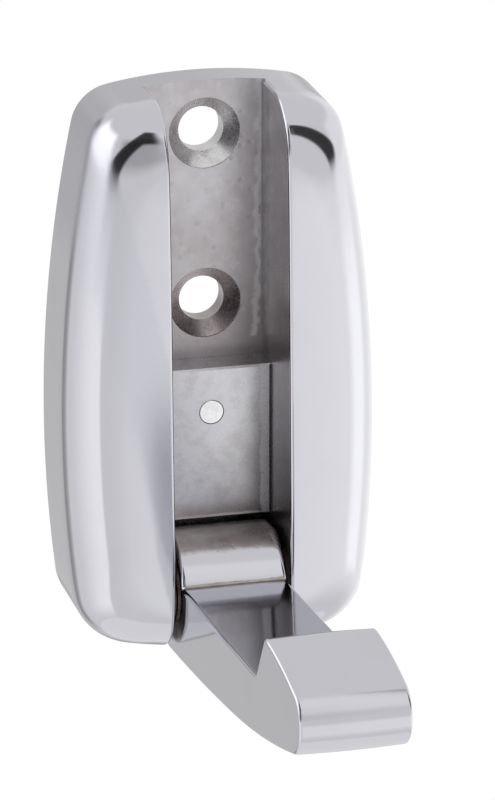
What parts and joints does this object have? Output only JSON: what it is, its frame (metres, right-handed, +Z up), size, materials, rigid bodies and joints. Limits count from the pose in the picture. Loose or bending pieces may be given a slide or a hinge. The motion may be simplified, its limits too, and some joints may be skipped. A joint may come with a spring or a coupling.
{
  "type": "wall mounted clothes valet",
  "caption": "Wall mounted fold-down clothes hook: a polished barrel-shaped cast housing with a full length channel, and a hinged arm with an upturned tip that folds up into it.",
  "frame": {"origin": "middle of the housing's back face, on the wall", "axes": "+X to the viewer's right, +Y into the wall, +Z up; the arm stands out along -Y"},
  "size_m": [0.0386, 0.0739, 0.07],
  "materials": {
    "polished_casting": "mirror polished, left as cast inside the channel",
    "polished_arm": "mirror polished, rough cast behind the knuckle",
    "machined_steel": "milled and lightly brushed",
    "pin_steel": "ground",
    "spring_steel": "blued spring strip",
    "washer_bronze": "plain bronze"
  },
  "bodies": {
    "housing": {"housing": "polished_casting", "hinge_pin": "pin_steel", "washer_left": "washer_bronze", "washer_right": "washer_bronze", "spring_block": "machined_steel", "block_rivet": "pin_steel", "detent_spring": "spring_steel"},
    "hook": {"hook_arm": "polished_arm"}
  },
  "joints": [
    {"name": "hook_hinge", "type": "hinge", "parent": "housing", "child": "hook", "pos_m": [0, -0.012, -0.027], "axis": [-1, 0, 0], "range_deg": [0, 84.5], "deforming": ["detent_spring"]}
  ]
}
